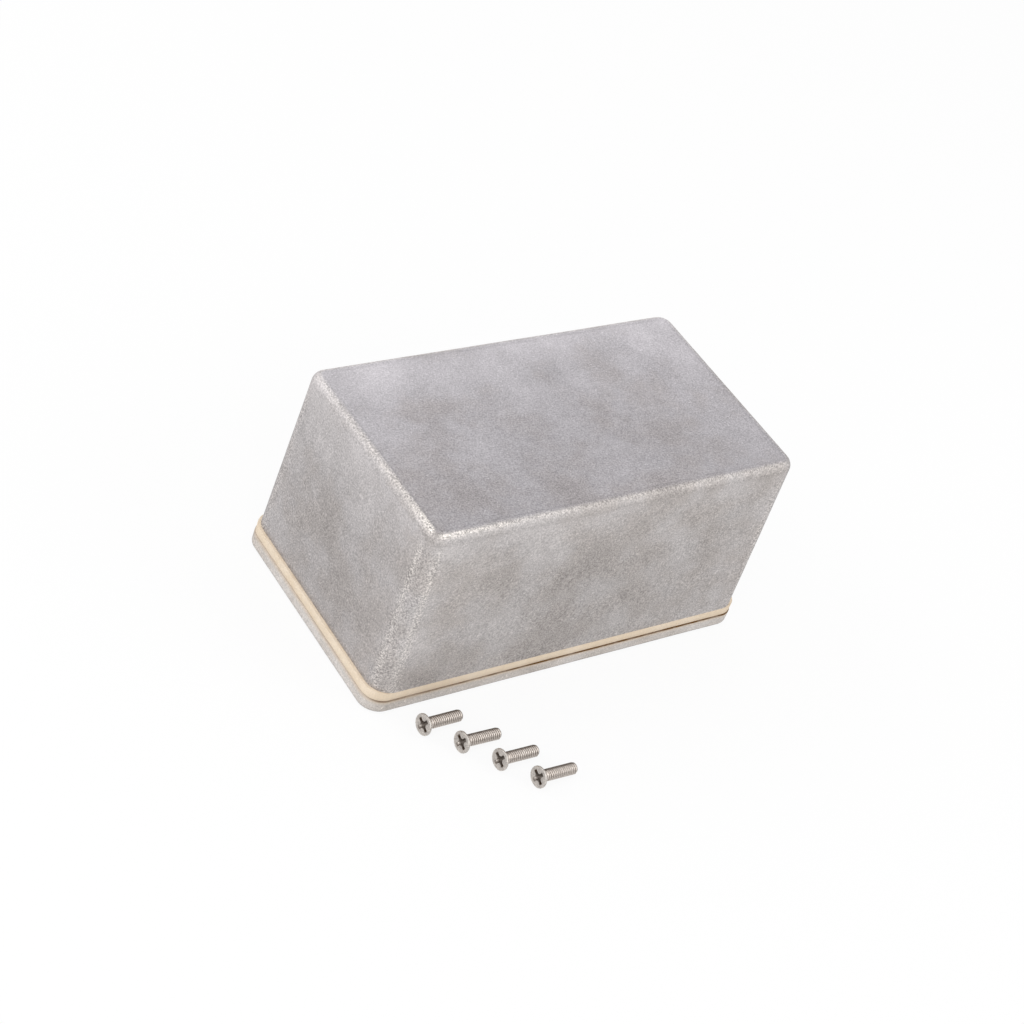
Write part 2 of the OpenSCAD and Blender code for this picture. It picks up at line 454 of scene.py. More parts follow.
def casing_marks(points, normals, down, off_corner):
    """Marks on the casing's outside: wear with painted highlights on the edges, painted highlight stripes
    by the corners, coarser grain, painted light and shade on the faces, a painted dark line along the top's
    edge, painted shade at the foot, the top's painted shade tone.

    The end share is 1 on the short ends and 0 on the long sides."""
    patchy = 1 + BAND_PATCHES * ripple(points, BAND_PATCH_SIZE, shift=3.7)
    height = points[:, 2] - RIM_SEAT
    rise = height / CASING_HEIGHT
    top_share = normals[:, 2] ** 2
    end_share = normals[:, 0] ** 2 / np.maximum(1 - top_share, 1e-6)
    # The band on the top's rounded edge is wear with a painted highlight, strongest by the near corner
    to_near_corner = np.hypot(points[:, 0] - CASING_LOW.x, points[:, 1] - CASING_LOW.y)
    near_corner_band = (NEAR_CORNER_BAND - NEAR_CORNER_LOSS_AT_ENDS * end_share) * fade(to_near_corner, NEAR_CORNER_REACH)
    edge_wear_and_highlight = (EDGE_BAND + EDGE_BAND_AT_ENDS * end_share + near_corner_band) * ramp(off_corner, *EDGE_BAND_OFF_CORNER)
    band_width = BAND_WIDTH * (1 + BAND_SPREAD_AT_ENDS * end_share)
    band = bell(down, BAND_PLACE - BAND_SHIFT_AT_ENDS * end_share, band_width)
    below_edge = ramp(down, EDGE_LENGTH - 1, EDGE_LENGTH + 5)
    # Stripes beside the corners are painted highlights, speckled like wear
    corner_wear_and_highlight = (CORNER_STRIPE + CORNER_STRIPE_RISE * rise) * below_edge
    stripes = bell(off_corner, CORNER_BAND + CORNER_BAND_SPREAD * rise, CORNER_BAND_WIDTH)
    # A painted dark line along the top's edge, beside its highlight
    dark_line = DARK_LINE_STRENGTH * bell(down, DARK_LINE_PLACE, DARK_LINE_WIDTH)
    # Painted shade at the casing's foot, where it meets the gasket
    foot_shade = FOOT_SHADE + FOOT_SHADE_AT_ENDS * end_share
    return {
        "edge_wear_and_highlight": edge_wear_and_highlight * patchy * band,
        "corner_wear_and_highlight": corner_wear_and_highlight * patchy * np.maximum(stripes, CORNER_MIDDLE),
        "coarse": np.maximum(band, below_edge * (1 - ramp(off_corner, *COARSE_OFF_CORNER))),
        # Painted light and shade near the edges of the faces
        "painted_light_and_shade": painted_face_light(points, top_share, end_share, down, off_corner),
        "painted_dark_line": dark_line * np.clip(patchy - DARK_LINE_LOSS, 0, 1),
        "soil": foot_shade * (1 - ramp(height, *FOOT_SHADE_RISE)),
        # The top, and a little of the ends, take the darker, cooler top tone: painted shade
        "painted_top_shade": np.maximum(ramp(top_share, *TOP_FACING), TOP_SHADE_AT_ENDS * end_share),
        "end_share": end_share,
    }


def casing(material):
    """Die-cast box: a drafted shell with tumbled faces outside, four tapped bosses inside."""
    shell = Shell()
    outline = Outline(CASING_HIGH, CASING_CORNER_RADIUS, CASING_CELL, CORNER_STEPS)
    rows, down = casing_rows()
    grid_count = len(outline.grid)
    station_count = len(outline.feet)
    points = [np.column_stack([outline.grid, np.full(grid_count, CASING_HIGH.z)])]
    normals = [np.tile((0.0, 0.0, 1.0), (grid_count, 1))]
    downs = [np.full(grid_count, down[0])]
    for (reach, height, angle), place in zip(rows, down):
        points.append(outline.ring(reach, RIM_SEAT + height))
        normals.append(np.column_stack([outline.out * math.cos(angle),
                                        np.full(station_count, math.sin(angle))]))
        downs.append(np.full(station_count, place))
    points, normals, downs = map(np.concatenate, (points, normals, downs))
    past_corner = np.concatenate([np.full(grid_count, 90.0)] + [outline.past_corner] * len(rows))
    # The painted highlight stripes beside the corners lean with height
    slant = CORNER_BAND_SLANT * (CORNER_BAND_LEVEL - (points[:, 2] - RIM_SEAT) / CASING_HEIGHT)
    marks = casing_marks(points, normals, downs, np.abs(past_corner - slant))
    sink = (WAVE_DEPTH * (1 - ripple(points, WAVE_SIZE))
            + DIMPLE_DEPTH * (1 - ripple(points, DIMPLE_SIZE, shift=9.1))
            + NICK_DEPTH * marks["edge_wear_and_highlight"] * (1 - ripple(points, NICK_SIZE, shift=5.3))
            + DARK_LINE_DEPTH * marks["painted_dark_line"])
    sink *= ramp(points[:, 2], RIM_SEAT + FOOT_RADIUS, RIM_SEAT + RELIEF_RISE)
    numbers = shell.add(points - normals * sink[:, None], **marks)
    grid = numbers[:grid_count].reshape(outline.lines + 1, outline.columns + 1)
    for line, next_line in zip(grid, grid[1:]):
        for a, b, c, d in zip(line, line[1:], next_line[1:], next_line):
            shell.face(a, b, c, d)
    rings = list(numbers[grid_count:].reshape(len(rows), station_count))
    shell.stack([numbers[outline.feet]] + rings)
    inside = casing_inside(shell)
    taps = [tapped_hole(shell, x, y) for x, y in screw_axes()]
    shell.fill(rings[-1], inside, *taps)
    return shell.build("casing_shell", material)


def casing_inside(shell):
    """Walls and ceiling of the casing's hollow. Returns the loop at the rim."""
    inner_radius = CASING_CORNER_RADIUS - SIDE_THICKNESS
    rows = section(inner_radius, CAVITY_HEIGHT, CAVITY_DRAFT, INNER_EDGE_RADIUS,
                   side_steps=12, edge_steps=6)
    rings = [shell.add(cavity_outline(inner_radius - reach, RIM_SEAT + height))
             for reach, height, _ in rows]
    shell.stack(rings)
    shell.fill(rings[-1])
    return rings[0]


def tapped_hole(shell, x, y, mouth=0.3, point=0.7, tip=0.05):
    """Blind hole in a boss, with a chamfered mouth and a drill point. Returns the loop at its mouth."""
    levels = [(TAP_RADIUS + mouth, 0), (TAP_RADIUS, mouth),
              (TAP_RADIUS, TAP_DEPTH), (tip, TAP_DEPTH + point)]
    rings = [shell.add(circle(x, y, radius, RIM_SEAT + depth)) for radius, depth in levels]
    shell.stack(rings)
    shell.fill(rings[-1])
    return rings[0]


# Gasket
GASKET_TOP_RADIUS = 0.15
GASKET_LOW_RADIUS = 0.25
GASKET_CELL = 1.0
GASKET_CORNER_STEPS = 12
GASKET_EDGE_DEGREES = 15
GASKET_WAVER = 0.06
GASKET_WAVER_SIZE = 9
GASKET_LIFT = 0.3
GASKET_LIFT_SPAN = (-60, 60)
GASKET_FRONT_SOIL = 0.1

# Brown darkening in the joint below the gasket: all around, at the left of the front, and what is added to
# its right
JOINT_DARKENING = 0.3
JOINT_DARKENING_LEFT = 0.68
JOINT_DARKENING_GAIN = 0.42
JOINT_DARKENING_SPAN = (-50, 10)
JOINT_PATCH_SIZE = 5


def joint_darkness(points, out):
    """Share of brown darkening in the joint below the gasket: more and more toward the right of the front.
    """
    front = ramp(-out[:, 1], 0.3, 0.9)
    on_front = JOINT_DARKENING_LEFT + JOINT_DARKENING_GAIN * ramp(points[:, 0], *JOINT_DARKENING_SPAN)
    patchy = 0.95 + 0.3 * ripple(points, JOINT_PATCH_SIZE, shift=8.8)
    return (JOINT_DARKENING * (1 - front) + on_front * front) * patchy


def gasket(material):
    """Flat rubber ring with soft edges and a hole at each screw, lifting a little off the lid in front."""
    shell = Shell()
    outline = Outline(GASKET_HIGH, GASKET_CORNER_RADIUS, GASKET_CELL, GASKET_CORNER_STEPS)
    thickness = GASKET_HIGH.z - GASKET_LOW.z
    middle = GASKET_LOW.z + thickness / 2
    rings = []
    for turn in range(-90, 91, GASKET_EDGE_DEGREES):
        angle = math.radians(turn)
        edge = GASKET_LOW_RADIUS if turn < 0 else GASKET_TOP_RADIUS
        inset = edge * (1 - math.cos(angle))
        height = middle + np.sign(turn) * (thickness / 2 - edge) + edge * math.sin(angle)
        ring = outline.ring(GASKET_CORNER_RADIUS - inset, height)
        waver = GASKET_WAVER * (1 - ripple(ring, GASKET_WAVER_SIZE, shift=2.2))
        ring[:, :2] -= outline.out * waver[:, None]
        front_share = ramp(-outline.out[:, 1], 0.5, 1)
        lifted = ramp(-turn, 0, 60) * front_share * ramp(ring[:, 0], *GASKET_LIFT_SPAN)
        ring[:, 2] += GASKET_LIFT * lifted
        # The front is a little dirtier, and brown darkening runs along the joint at the lower edge
        soil = GASKET_FRONT_SOIL * front_share + joint_darkness(ring, outline.out) * ramp(-turn, 5, 45)
        rings.append(shell.add(ring, side=math.cos(angle) ** 2, soil=soil))
    shell.stack(rings)
    faces = (GASKET_LOW.z, GASKET_HIGH.z)
    inner = [shell.add(cavity_outline(0, height)) for height in faces]
    shell.bridge(*inner)
    holes = []
    for x, y in screw_axes():
        hole = [shell.add(circle(x, y, LID_HOLE_RADIUS, height)) for height in faces]
        shell.bridge(*hole)
        holes.append(hole)
    for end in (0, 1):
        shell.fill(rings[-end], inner[end], *[hole[end] for hole in holes])
    return shell.build("gasket_ring", material, sharp_angle=60)


# Lid
LID_CELL = 1.0
LID_CORNER_STEPS = 12
LID_EDGE_STEPS = 6
LID_SIDE_STEPS = 6
LID_RIM_STEPS = 7
LID_WAVE_SIZE = 18
LID_GRAIN = -0.6
# Painted light on the lid's ends
LID_END_LIGHT = 0.4
LID_STAIN = 0.5
LID_STAIN_LOSS_AT_ENDS = 0.1
LID_STAIN_SPAN = (2.4, 3.7)
# Heights of the painted shade line along the lid's lower edge
LID_FOOT_LINE = (0.1, 0.9)
BAR_CORNER_RADIUS = 0.5
BAR_EDGE_RADIUS = 0.4
BAR_EDGE_STEPS = 4


def lid(material):
    """Die-cast plate with soft edges, four countersunk holes and locating bars on its inner face."""
    shell = Shell()
    outline = Outline(LID_HIGH, LID_CORNER_RADIUS, LID_CELL, LID_CORNER_STEPS)
    rows = [(LID_CORNER_RADIUS - LID_EDGE_RADIUS * (1 - math.sin(a)),
             LID_EDGE_RADIUS * (1 - math.cos(a)), 0) for a in quarter_turn(LID_EDGE_STEPS)]
    side_heights = np.linspace(LID_EDGE_RADIUS, GASKET_SEAT - LID_RIM_RADIUS, LID_SIDE_STEPS + 1)[1:-1]
    rows += [(LID_CORNER_RADIUS, height, 0) for height in side_heights]
    rows += [(LID_CORNER_RADIUS - LID_RIM_RADIUS * (1 - math.cos(a)),
              GASKET_SEAT - LID_RIM_RADIUS * (1 - math.sin(a)), a) for a in quarter_turn(LID_RIM_STEPS)]
    rings = []
    for reach, height, rim_turn in rows:
        ring = outline.ring(reach, height)
        sink = DIMPLE_DEPTH * (1 - ripple(ring, DIMPLE_SIZE, shift=1.3))
        sink += WAVE_DEPTH * (1 - ripple(ring, LID_WAVE_SIZE, shift=4.4))
        ring[:, :2] -= outline.out * sink[:, None]
        # Brown darkening along the joint at the rim's upper part
        soil = joint_darkness(ring, outline.out) * ramp(math.degrees(rim_turn), 0, 40)
        end_share = outline.out[:, 0] ** 2
        stain = (LID_STAIN - LID_STAIN_LOSS_AT_ENDS * end_share) * ramp(height, *LID_STAIN_SPAN)
        # The ends get painted light, and a painted shade line runs along the lower edge
        rings.append(shell.add(ring, coarse=LID_GRAIN, painted_light_and_shade=LID_END_LIGHT * end_share,
                               end_share=end_share, soil=soil, stain=stain,
                               painted_dark_line=1 - ramp(height, *LID_FOOT_LINE)))
    shell.stack(rings)
    holes = [countersunk_hole(shell, x, y) for x, y in screw_axes()]
    shell.fill(rings[0], *[hole[0] for hole in holes])
    shell.fill(rings[-1], *[hole[1] for hole in holes], *locating_bars(shell))
    return shell.build("lid_plate", material)


def countersunk_hole(shell, x, y, edge_break=0.12):
    """Countersink and clearance hole through the lid. Returns its loops at the outer and the inner face."""
    levels = [(SINK_RADIUS + edge_break, 0), (SINK_RADIUS, edge_break),
              (LID_HOLE_RADIUS, SINK_RADIUS - LID_HOLE_RADIUS + edge_break),
              (LID_HOLE_RADIUS, GASKET_SEAT - edge_break), (LID_HOLE_RADIUS + edge_break, GASKET_SEAT)]
    rings = [shell.add(circle(x, y, radius, height)) for radius, height in levels]
    shell.stack(rings)
    return rings[0], rings[-1]


def locating_bars(shell):
    """Bars that stand inside the casing's rim. Returns their loops at the lid's inner face."""
    bar_x = CAVITY_HALF_X - BAR_CLEARANCE - BAR_THICKNESS / 2
    bar_y = CAVITY_HALF_Y - BAR_CLEARANCE - BAR_THICKNESS / 2
    reach_x = SCREW_X - BOSS_RADIUS - BAR_CLEARANCE
    reach_y = SCREW_Y - BOSS_RADIUS - BAR_CLEARANCE
    loops = []
    for side in (-1, 1):
        for x, y, high in ((0, side * bar_y, Vector((reach_x, BAR_THICKNESS / 2))),
                           (side * bar_x, 0, Vector((BAR_THICKNESS / 2, reach_y)))):
            outline = Outline(high, BAR_CORNER_RADIUS, cell=2, corner_steps=6)
            levels = [(BAR_CORNER_RADIUS, GASKET_SEAT)]
            levels += [(BAR_CORNER_RADIUS - BAR_EDGE_RADIUS * (1 - math.cos(a)),
                        LID_HIGH.z - BAR_EDGE_RADIUS * (1 - math.sin(a)))
                       for a in quarter_turn(BAR_EDGE_STEPS)]
            rings = [shell.add(outline.ring(reach, height) + (x, y, 0)) for reach, height in levels]
            shell.stack(rings)
            shell.fill(rings[-1])
            loops.append(rings[0])
    return loops


# Screws
THREAD_PITCH = 0.6
THREAD_ROOT = 1.2
THREAD_CREST = 0.22
THREAD_FLANK = 0.27
THREAD_SETBACK = 0.3
THREAD_STEPS = 48
ROWS_PER_PITCH = 10
NECK_RADIUS = 1.32
NECK_LENGTH = 0.8
HEAD_EDGE_RADIUS = 0.12
HEAD_EDGE_STEPS = 3
HEAD_CONE_ROWS = (0.33, 0.66, 0.94)
RECESS_LIP = 0.08
RECESS_TAPER = 0.35
WING_END_ROUND = 0.05

# Dirt and painted shade in the thread's root and down the recess by depth, and painted shade and painted
# reflection of dark surroundings on the thread's sides that face these ways in the scene
ROOT_DIRT_AND_SHADE = 0.85
SIDE_SHADE = ((Vector((0, 0.77, 0.64)), 0.9), (Vector((0, -1.0, 0.0)), 0.3))
SIDE_FACING = (0.55, 0.95)
LIP_DIRT_AND_SHADE = 0.2
RECESS_DIRT_AND_SHADE = ((0.0, 0.6), (0.03, 0.9), (0.25, 1.1), (0.6, 1.1), (1.0, 1.0))

# The recess's wing whose slope faces the camera, kept clean with the lighter shank tone as a painted
# highlight, and how much less dirt and painted shade the core and the wing across from it have
HIGHLIT_WING_WAY = Vector((0, 0.77, -0.63))
HIGHLIT_WING_SHARE = 0.85
CORE_LOSS = 0.25
ACROSS_LOSS = 0.35
WING_SPAN = (1.0, 1.5)
WING_FACING = (0.8, 0.97)


def thread_reach(phase):
    """Radius of the thread at a phase from 0 to 1 of its pitch: flat crest, straight flanks, wide root."""
    away = np.abs(phase - 0.5)
    down_flank = np.clip((away - THREAD_CREST / 2) / THREAD_FLANK, 0, 1)
    return THREAD_RADIUS - (THREAD_RADIUS - THREAD_ROOT) * down_flank


def thread(shell, start, end, inward):
    """Helical thread along +Z, whose rows follow the helix, with dirt and painted shade in its root and
    painted shade on two of its sides.

    The matrix inward turns the scene's ways into the screw's. Returns the first and last level ring."""
    row_count = math.ceil((end - start) / THREAD_PITCH + 1) * ROWS_PER_PITCH + 1
    turns = np.arange(THREAD_STEPS) / THREAD_STEPS
    rows = np.arange(row_count) / ROWS_PER_PITCH
    rise, turn = np.meshgrid(rows, turns, indexing="ij")
    height = np.clip(start + THREAD_PITCH * (rise + turn - 1), start, end)
    room = np.minimum(NECK_RADIUS + (height - start) / 2, THREAD_RADIUS - TIP_CHAMFER + end - height)
    room = np.where(height <= start, NECK_RADIUS, room)
    profile = np.where(height - start < THREAD_SETBACK, NECK_RADIUS, thread_reach(rise % 1))
    reach = np.minimum(profile, room)
    angle = 2 * math.pi * turn
    points = np.stack([reach * np.cos(angle), reach * np.sin(angle), height], axis=-1)
    # Dirt and painted shade darken the thread's root
    soil = ROOT_DIRT_AND_SHADE * np.clip((THREAD_RADIUS - reach) / (THREAD_RADIUS - THREAD_ROOT), 0, 1)
    soil *= ramp(height, start - 0.4, start + 0.9)
    # Painted shade on the sides that face these ways in the scene
    for scene_way, most in SIDE_SHADE:
        way = inward @ scene_way
        on_side = most * ramp(np.cos(angle) * way.x + np.sin(angle) * way.y, *SIDE_FACING)
        soil += (1 - soil) * on_side
    numbers = shell.add(points.reshape(-1, 3), soil=soil.ravel(), shank=1.0).reshape(height.shape)
    for row in range(row_count - 1):
        for step in range(THREAD_STEPS):
            over = (step + 1) % THREAD_STEPS
            shift = ROWS_PER_PITCH if over == 0 else 0
            if row + 1 + shift >= row_count:
                continue
            corners = [(row, step), (row + shift, over), (row + 1 + shift, over), (row + 1, step)]
            levels = {round(height[corner], 6) for corner in corners}
            if levels not in ({round(start, 6)}, {round(end, 6)}):
                shell.face(*[numbers[corner] for corner in corners])
    first = [numbers[np.flatnonzero(height[:, step] <= start)[-1], step] for step in range(THREAD_STEPS)]
    last = [numbers[np.flatnonzero(height[:, step] >= end)[0], step] for step in range(THREAD_STEPS)]
    return np.array(first), np.array(last)


def recess_outline(depth_share, grow=0.0):
    """Points around the cross recess at a share of its depth, in the plane of the head."""
    span = RECESS_SPAN / 2 + (RECESS_FOOT - RECESS_SPAN) / 2 * depth_share + grow
    core = RECESS_CORE / 2 + (RECESS_FOOT - RECESS_CORE) / 2 * depth_share + grow
    wing = RECESS_WING / 2 * (1 - RECESS_TAPER * depth_share) + grow
    root = math.asin(wing / core)
    arc = np.linspace(root, math.pi / 2 - root, 7)
    points = []
    for quarter in range(4):
        wing_end = [(span, -wing), (span + WING_END_ROUND * span, 0), (span, wing)]
        side = [(core * math.cos(a), core * math.sin(a)) for a in arc]
        spin = Matrix.Rotation(math.pi / 2 * quarter, 2)
        points += [spin @ Vector(point) for point in wing_end + side]
    return points


def ring_angles(shell, ring):
    """Angles around Z of a ring's points."""
    return [math.atan2(shell.points[number][1], shell.points[number][0]) for number in ring]


def recess(shell, inward):
    """Cross recess, darkened inside with dirt and painted shade, with one wing kept clean and lighter as a
    painted highlight. Returns the loop of its lip.
    """
    lip = shell.add([(x, y, 0) for x, y in recess_outline(0, RECESS_LIP)], soil=LIP_DIRT_AND_SHADE)
    rings = [lip]
    highlit_wing_way = (inward @ HIGHLIT_WING_WAY).to_2d().normalized()
    for share, soil in RECESS_DIRT_AND_SHADE:
        outline = recess_outline(share)
        along = np.array([point.normalized().dot(highlit_wing_way) for point in outline])
        in_wing = ramp(np.array([point.length for point in outline]), *WING_SPAN)
        # The wing whose slope faces the camera is kept clean and takes the lighter shank tone: a painted
        # highlight
        highlit_wing = ramp(along, *WING_FACING) * in_wing * ramp(share, 0.0, 0.2) * (1 - ramp(share, 0.6, 1.4))
        lost = CORE_LOSS * (1 - in_wing) + ACROSS_LOSS * in_wing * ramp(-along, *WING_FACING)
        rings.append(shell.add([(x, y, RECESS_LIP / 2 + RECESS_DEPTH * share) for x, y in outline],
                               soil=soil * (1 - HIGHLIT_WING_SHARE * highlit_wing) * (1 - lost), shank=highlit_wing))
    shell.stack(rings)
    shell.fill(rings[-1])
    return lip


def screw_head(shell, lip):
    """Countersunk head around the recess's lip. Returns the loop at its neck."""
    angles = ring_angles(shell, lip)
    profile = [(HEAD_RADIUS - HEAD_EDGE_RADIUS * (1 - math.sin(a)), HEAD_EDGE_RADIUS * (1 - math.cos(a)))
               for a in quarter_turn(HEAD_EDGE_STEPS)]
    cone = HEAD_RADIUS - NECK_RADIUS
    profile += [(HEAD_RADIUS - cone * s, HEAD_LAND + cone * s) for s in (0,) + HEAD_CONE_ROWS]
    rings = [shell.add([(radius * math.cos(a), radius * math.sin(a), height) for a in angles])
             for radius, height in profile]
    shell.stack([lip] + rings)
    return rings[-1]


def screw(name, material, place):
    """Countersunk screw with a rolled thread and a cross recess, laid at its place in the row."""
    shell = Shell()
    inward = place.to_3x3().inverted()
    neck = screw_head(shell, recess(shell, inward))
    first, last = thread(shell, HEAD_HEIGHT + NECK_LENGTH / 2, SCREW_LENGTH, inward)
    shell.fill(last)
    join_rings(shell, neck, first)
    piece = shell.build(name, material, sharp_angle=50)
    piece.data.transform(place)
    return piece


def join_rings(shell, ring, other):
    """Faces between two rings around Z that have different counts of points."""
    def by_angle(numbers):
        """The ring's points in order of angle, with the angles."""
        angles = ring_angles(shell, numbers)
        order = np.argsort(angles)
        return [numbers[k] for k in order], [angles[k] for k in order]

    a_numbers, a_angles = by_angle(ring)
    b_numbers, b_angles = by_angle(other)
    a_numbers.append(a_numbers[0])
    b_numbers.append(b_numbers[0])
    a_angles.append(a_angles[0] + 2 * math.pi)
    b_angles.append(b_angles[0] + 2 * math.pi)
    a = b = 0
    while a < len(ring) or b < len(other):
        if b == len(other) or (a < len(ring) and a_angles[a + 1] <= b_angles[b + 1]):
            shell.face(a_numbers[a], a_numbers[a + 1], b_numbers[b])
            a += 1
        else:
            shell.face(a_numbers[a], b_numbers[b + 1], b_numbers[b])
            b += 1


def screw_places():
    """Where each loose screw lies, on the rim of its head and the end of its thread."""
    tilt = math.atan((HEAD_RADIUS - THREAD_RADIUS) / (SCREW_LENGTH - TIP_CHAMFER - HEAD_LAND))
    rest = HEAD_LAND * math.sin(tilt) + HEAD_RADIUS * math.cos(tilt)
    start = Vector((LID_LOW.x + ROW_SETBACK, LID_LOW.y - ROW_GAP - HEAD_RADIUS, rest))
    step = Vector((ROW_STEP, -2 * HEAD_RADIUS - HEAD_GAP, 0))
    for count, (turn, recess_turn) in enumerate(zip(SCREW_TURNS, RECESS_TURNS)):
        yield (Matrix.Translation((start + count * step) * MM)
               @ Matrix.Rotation(math.radians(turn), 4, "Z")
               @ Matrix.Rotation(math.pi / 2 + tilt, 4, "Y")
               @ Matrix.Rotation(math.radians(recess_turn), 4, "Z"))


def srgb(red, green, blue):
    """Linear colour of a display colour from 0 to 255."""
    channels = [c / 255 for c in (red, green, blue)]
    return [c / 12.92 if c <= 0.04045 else ((c + 0.055) / 1.055) ** 2.4 for c in channels] + [1.0]


class Finish:
    """One procedural material, with short calls for the nodes that it is made of."""

    def __init__(self, name):
        self.material = bpy.data.materials.new(name)
        self.material.use_nodes = True
        self.tree = self.material.node_tree
        self.shader = self.tree.nodes["Principled BSDF"]
        self.place = self.node("ShaderNodeTexCoord").outputs["Object"]

    def node(self, kind, **settings):
        """A node of that kind with these settings."""
        made = self.tree.nodes.new(kind)
        for name, value in settings.items():
            setattr(made, name, value)
        return made

    def feed(self, socket, source):
        """Links an output to a socket, or sets the socket to a plain value."""
        if isinstance(source, bpy.types.NodeSocket):
            self.tree.links.new(source, socket)
        else:
            socket.default_value = source

    def put(self, name, source):
        """Links or sets one of the shader's own sockets."""
        self.feed(self.shader.inputs[name], source)

    def noise(self, size, detail=2.0, roughness=0.5, stretch=(1, 1, 1), shift=0.0):
        """Noise from 0 to 1 with blotches about size millimetres across, longer along a stretched axis."""
        mapping = self.node("ShaderNodeMapping")
        mapping.inputs["Location"].default_value = (shift, shift, shift)
        mapping.inputs["Scale"].default_value = [1 / (size * MM * share) for share in stretch]
        self.feed(mapping.inputs["Vector"], self.place)
        texture = self.node("ShaderNodeTexNoise")
        texture.inputs["Scale"].default_value = 1
        texture.inputs["Detail"].default_value = detail
        texture.inputs["Roughness"].default_value = roughness
        self.feed(texture.inputs["Vector"], mapping.outputs["Vector"])
        return texture.outputs["Fac"]

    def mark(self, name):
        """A mark that the mesh carries on its points."""
        return self.node("ShaderNodeAttribute", attribute_name=name).outputs["Fac"]

    def math(self, operation, first, second=0.0, third=0.0):
        """One sum on two or three values."""
        made = self.node("ShaderNodeMath", operation=operation)
        for socket, value in zip(made.inputs, (first, second, third)):
            self.feed(socket, value)
        return made.outputs[0]

    def add(self, total, value, weight):
        """A total with a weighted value added to it."""
        return self.math("MULTIPLY_ADD", value, weight, total)

    def remap(self, value, low, high, to_low=0.0, to_high=1.0):
        """A value between low and high turned smoothly into one between two others."""
        made = self.node("ShaderNodeMapRange", interpolation_type="SMOOTHSTEP")
        limits = {"From Min": low, "From Max": high, "To Min": to_low, "To Max": to_high}
        for name, number in limits.items():
            made.inputs[name].default_value = number
        self.feed(made.inputs["Value"], value)
        return made.outputs["Result"]

    def swing(self, value):
        """Noise from 0 to 1 turned into a value that swings between -1 and 1."""
        return self.remap(value, 0.25, 0.75, -1.0, 1.0)

    def mix(self, share, first, second):
        """Two colours mixed by a share. The node's sockets share their names, so they go by number."""
        made = self.node("ShaderNodeMix", data_type="RGBA")
        self.feed(made.inputs[0], share)
        self.feed(made.inputs[6], first)
        self.feed(made.inputs[7], second)
        return made.outputs[2]

    def scaled(self, colour, factor):
        """A colour made lighter or darker by a factor."""
        made = self.node("ShaderNodeVectorMath", operation="SCALE")
        self.feed(made.inputs[0], colour if isinstance(colour, bpy.types.NodeSocket) else colour[:3])
        self.feed(made.inputs["Scale"], factor)
        return made.outputs[0]

    def bump(self, height, depth):
        """Fine relief of about that depth in millimetres."""
        made = self.node("ShaderNodeBump")
        made.inputs["Distance"].default_value = depth * MM
        self.feed(made.inputs["Height"], height)
        self.put("Normal", made.outputs["Normal"])


# Colours
# Each top tone is a darker copy of its side tone, as painted shade; the wear tones also carry painted
# highlights
CASING_SIDE = srgb(177, 172, 170)
CASING_TOP_SHADED = srgb(161, 157, 159)
CASING_WORN_AND_HIGHLIT = srgb(214, 208, 203)
LID_SIDE = srgb(201, 195, 190)
LID_TOP_SHADED = srgb(196, 191, 188)
LID_WORN_AND_HIGHLIT = srgb(212, 206, 200)
COOL_TINT = (0.987, 1.0, 1.013)
WARM_TINT = (1.011, 1.0, 0.984)
RUBBER_DARK = srgb(232, 214, 190)
RUBBER_LIGHT = srgb(237, 221, 200)
HEAD_DARK = srgb(186, 180, 175)
HEAD_LIGHT = srgb(206, 199, 192)
SHANK_DARK = srgb(229, 220, 212)
SHANK_LIGHT = srgb(240, 232, 225)
JOINT_BROWN = srgb(104, 72, 32)
SCREW_BROWN = srgb(60, 40, 20)
STAIN_TAN = srgb(216, 196, 170)


def tinted(colour, tint):
    """A colour with each channel multiplied."""
    return [channel * share for channel, share in zip(colour, tint)] + [1.0]


